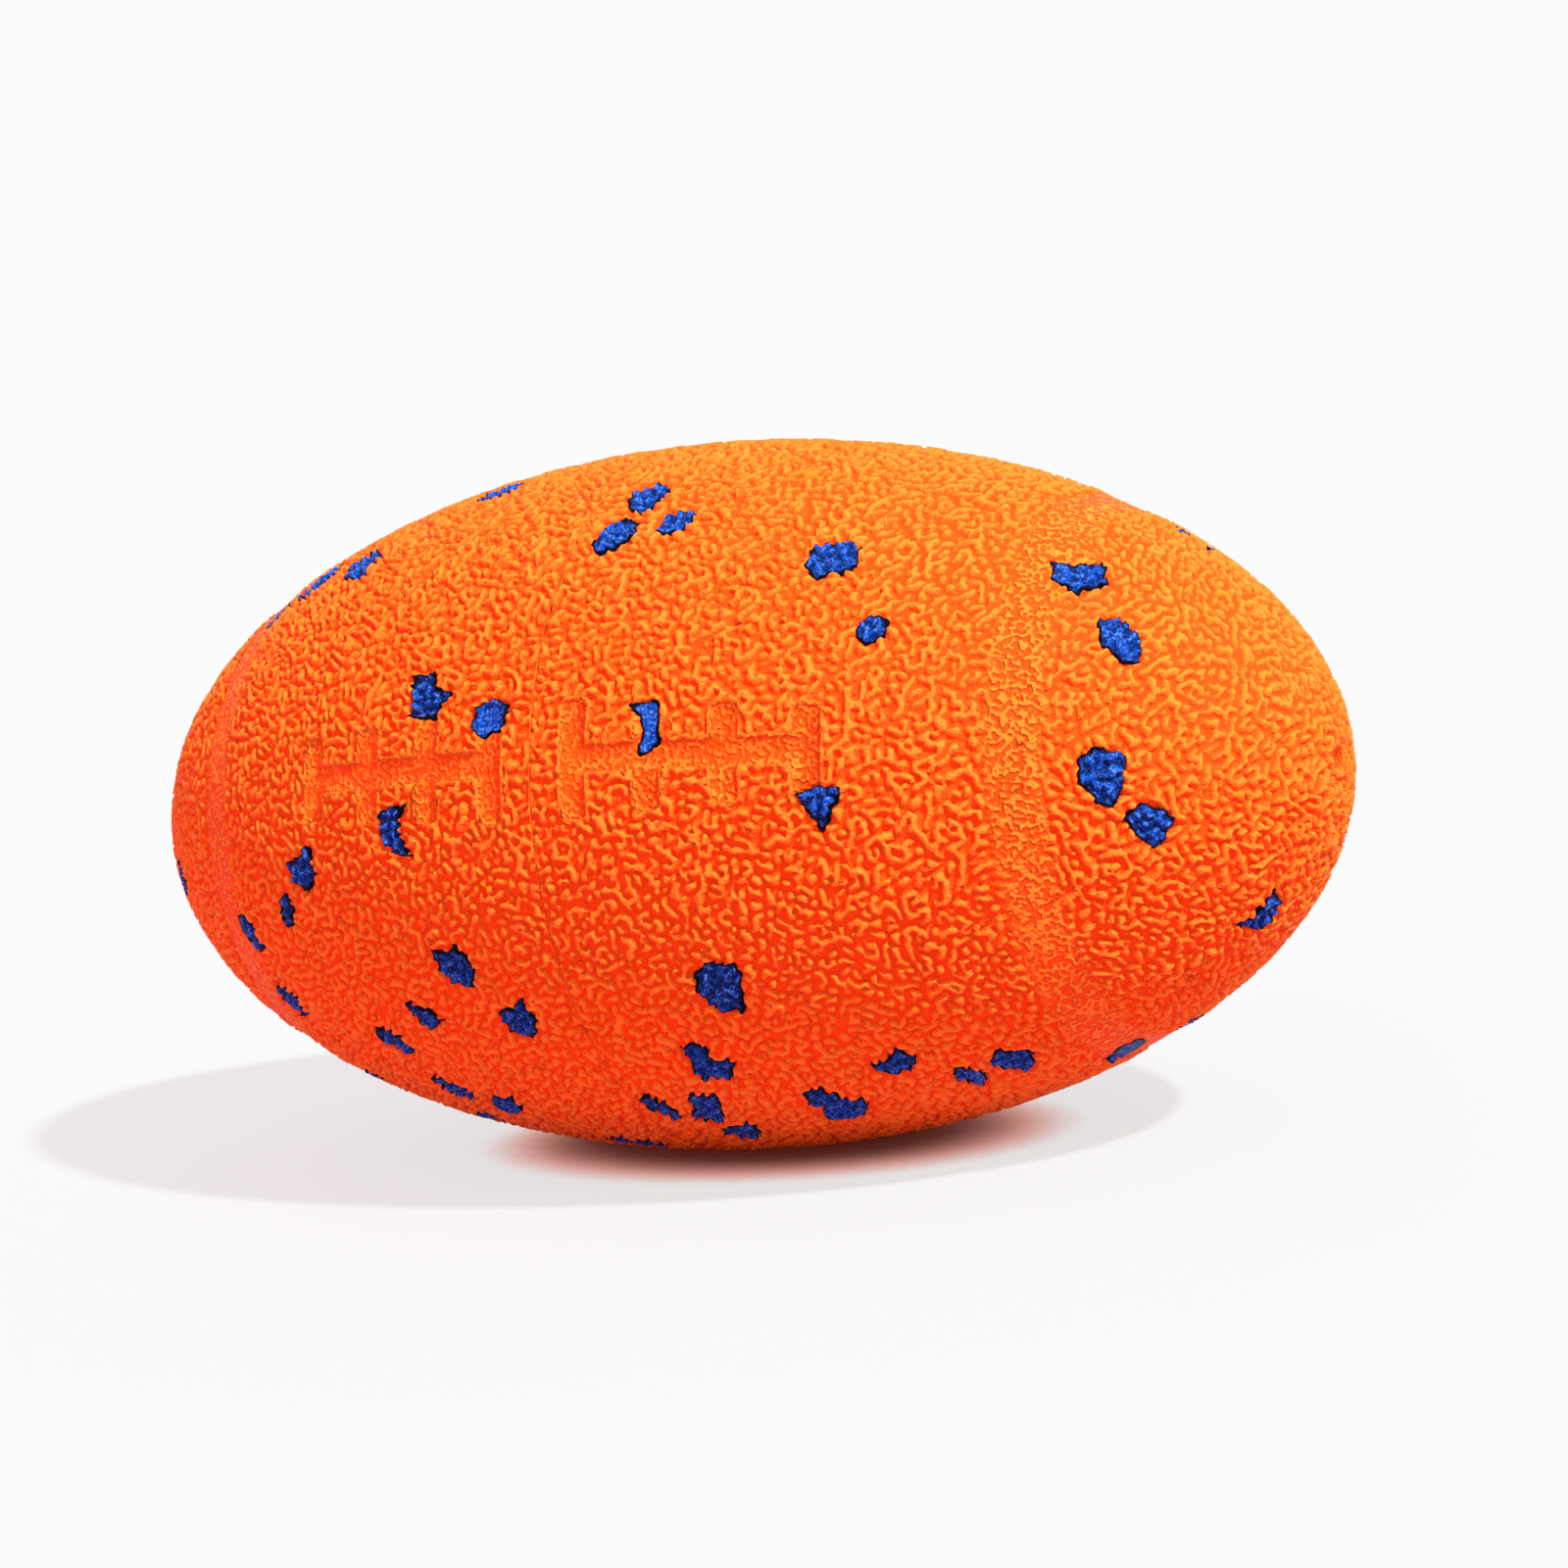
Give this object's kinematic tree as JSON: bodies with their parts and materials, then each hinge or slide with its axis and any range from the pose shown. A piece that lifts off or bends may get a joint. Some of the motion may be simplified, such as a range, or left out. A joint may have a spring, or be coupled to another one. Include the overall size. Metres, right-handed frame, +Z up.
{
  "type": "pet ball",
  "caption": "Oval hollow rubber pet ball with coarse grain, sunken laces, end stripes, moulded-in blue flecks and a squeaker behind an air port in one tip.",
  "frame": {"origin": "on the resting surface, under the middle of the ball", "axes": "+X along the long axis towards the tip with the air port, +Z up, -Y the side with the laces"},
  "size_m": [0.15, 0.081, 0.0806],
  "materials": {
    "orange_rubber": "satin moulded rubber with a coarse raised grain",
    "blue_rubber": "satin rubber chips that carry the same grain",
    "bond_rubber": "thin line of rubber cement, dull",
    "squeaker_plastic": "natural moulded polyethylene",
    "reed_film": "thin clear-grey plastic film"
  },
  "bodies": {
    "ball": {"front_half_shell": "orange_rubber", "rear_half_shell": "orange_rubber", "seam_bond": "bond_rubber", "squeaker_housing": "squeaker_plastic", "squeaker_cap": "squeaker_plastic", "squeaker_reed_seat": "squeaker_plastic", "squeaker_reed_collar": "squeaker_plastic", "blue_fleck_01": "blue_rubber", "blue_fleck_02": "blue_rubber", "blue_fleck_03": "blue_rubber", "blue_fleck_04": "blue_rubber", "blue_fleck_05": "blue_rubber", "blue_fleck_06": "blue_rubber", "blue_fleck_07": "blue_rubber", "blue_fleck_08": "blue_rubber", "blue_fleck_09": "blue_rubber", "blue_fleck_10": "blue_rubber", "blue_fleck_11": "blue_rubber", "blue_fleck_12": "blue_rubber", "blue_fleck_13": "blue_rubber", "blue_fleck_14": "blue_rubber", "blue_fleck_15": "blue_rubber", "blue_fleck_16": "blue_rubber", "blue_fleck_17": "blue_rubber", "blue_fleck_18": "blue_rubber", "blue_fleck_19": "blue_rubber", "blue_fleck_20": "blue_rubber", "blue_fleck_21": "blue_rubber", "blue_fleck_22": "blue_rubber", "blue_fleck_23": "blue_rubber", "blue_fleck_24": "blue_rubber", "blue_fleck_25": "blue_rubber", "blue_fleck_26": "blue_rubber", "blue_fleck_27": "blue_rubber", "blue_fleck_28": "blue_rubber", "blue_fleck_29": "blue_rubber", "blue_fleck_30": "blue_rubber", "blue_fleck_31": "blue_rubber", "blue_fleck_32": "blue_rubber", "blue_fleck_33": "blue_rubber", "blue_fleck_34": "blue_rubber", "blue_fleck_35": "blue_rubber", "blue_fleck_36": "blue_rubber", "blue_fleck_37": "blue_rubber", "blue_fleck_38": "blue_rubber", "blue_fleck_39": "blue_rubber", "blue_fleck_40": "blue_rubber", "blue_fleck_41": "blue_rubber", "blue_fleck_42": "blue_rubber", "blue_fleck_43": "blue_rubber", "blue_fleck_44": "blue_rubber", "blue_fleck_45": "blue_rubber", "blue_fleck_46": "blue_rubber", "blue_fleck_47": "blue_rubber", "blue_fleck_48": "blue_rubber", "blue_fleck_49": "blue_rubber", "blue_fleck_50": "blue_rubber", "blue_fleck_51": "blue_rubber", "blue_fleck_52": "blue_rubber"},
    "reed": {"squeaker_reed": "reed_film"}
  },
  "joints": [
    {"name": "reed_flex", "type": "hinge", "parent": "ball", "child": "reed", "pos_m": [0.063, 0, 0.0422], "axis": [0, -1, 0], "range_deg": [-4, 6], "stiffness_Nm_per_rad": 0.0005}
  ]
}
